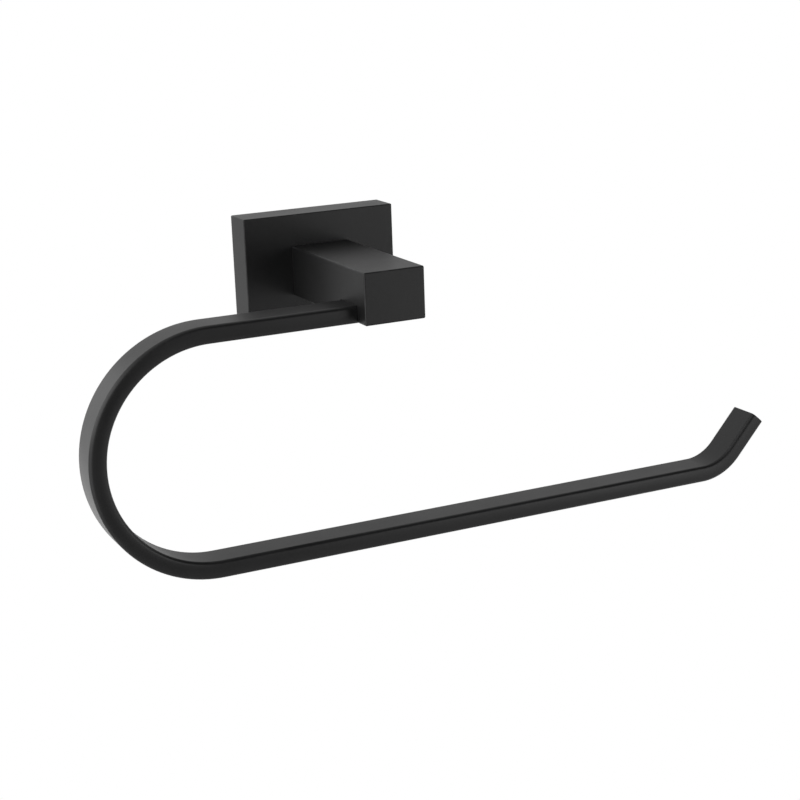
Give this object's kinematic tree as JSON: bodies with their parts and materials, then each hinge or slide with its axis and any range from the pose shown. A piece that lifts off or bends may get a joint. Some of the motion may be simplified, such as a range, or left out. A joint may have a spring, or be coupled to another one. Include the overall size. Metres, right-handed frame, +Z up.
{
  "type": "towel holder",
  "caption": "Wall-mounted open-loop towel holder: a flat bar bent into a half circle with an upturned tip, held in a square post on a rectangular wall plate over a hidden bracket.",
  "frame": {"origin": "middle of the wall plate's back, on the wall, level with the middle of the post", "axes": "+X along the wall towards the bar's upturned tip, +Y into the wall, +Z up"},
  "size_m": [0.2268, 0.063, 0.0944],
  "materials": {
    "black_coat": "matte black powder coat with a very fine grain",
    "plated_steel": "dull zinc plating",
    "black_screw": "black oxide, satin"
  },
  "bodies": {
    "root": {"wall_plate": "black_coat", "post": "black_coat", "towel_bar": "black_coat", "wall_bracket": "plated_steel", "post_screws": "plated_steel", "bar_screw": "black_screw", "set_screw": "black_screw"}
  },
  "joints": []
}
